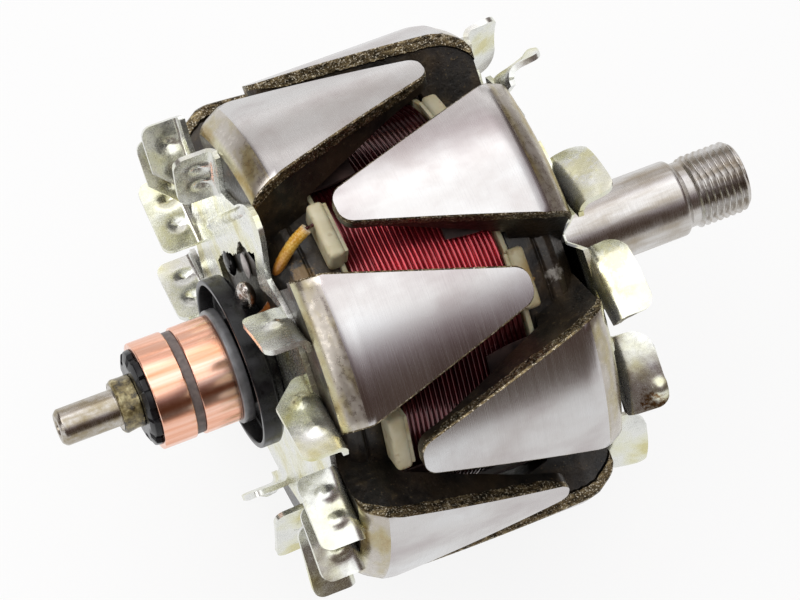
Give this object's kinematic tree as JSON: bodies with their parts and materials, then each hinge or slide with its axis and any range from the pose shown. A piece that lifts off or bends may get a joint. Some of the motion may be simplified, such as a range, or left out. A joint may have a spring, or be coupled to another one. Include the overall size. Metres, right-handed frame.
{
  "type": "alternator rotor",
  "caption": "Claw-pole alternator rotor: interleaved steel claws over a field winding, with a fan at each end, slip rings and a threaded drive shaft.",
  "frame": {"origin": "middle of the drive end bearing seat, on the shaft axis", "axes": "+X along the shaft towards the threaded drive end; +Z through the middle of one drive end claw; the rotor lies on its side"},
  "size_m": [0.1568, 0.1076, 0.1076],
  "materials": {
    "shaft_steel": "ground steel with tool marks",
    "pole_steel": "claw tops turned bright, sides dark forging scale",
    "bobbin_nylon": "cream moulded nylon, varnish stained",
    "winding_enamel": "copper wire in glossy red enamel",
    "winding_shield": "thin purple grey insulating sheet",
    "fan_zinc": "pressed sheet steel, zinc plated with yellow tints",
    "black_plastic": "black moulded resin",
    "ring_copper": "polished copper with fine turning lines",
    "grey_band": "dull grey brown insulation",
    "collar_resin": "rough brown resin",
    "lead_sleeve": "woven yellow orange sleeve, varnished",
    "solder": "shiny lumpy solder"
  },
  "bodies": {
    "root": {"shaft": "shaft_steel", "drive_end_pole": "pole_steel", "slip_ring_end_pole": "pole_steel", "bobbin": "bobbin_nylon", "field_winding": "winding_enamel", "drive_end_winding_shield": "winding_shield", "slip_ring_end_winding_shield": "winding_shield", "drive_end_fan": "fan_zinc", "slip_ring_end_fan": "fan_zinc", "slip_ring_moulding": "black_plastic", "outer_slip_ring": "ring_copper", "slip_ring_spacer_band": "grey_band", "inner_slip_ring": "ring_copper", "slip_ring_end_band": "grey_band", "insulator_cup": "black_plastic", "insulator_hub": "black_plastic", "end_collar": "collar_resin", "lead_sleeve_upper": "lead_sleeve", "lead_sleeve_lower": "lead_sleeve", "lead_wire_upper": "winding_enamel", "lead_wire_lower": "winding_enamel", "solder_joint_upper": "solder", "solder_joint_lower": "solder"}
  },
  "joints": []
}
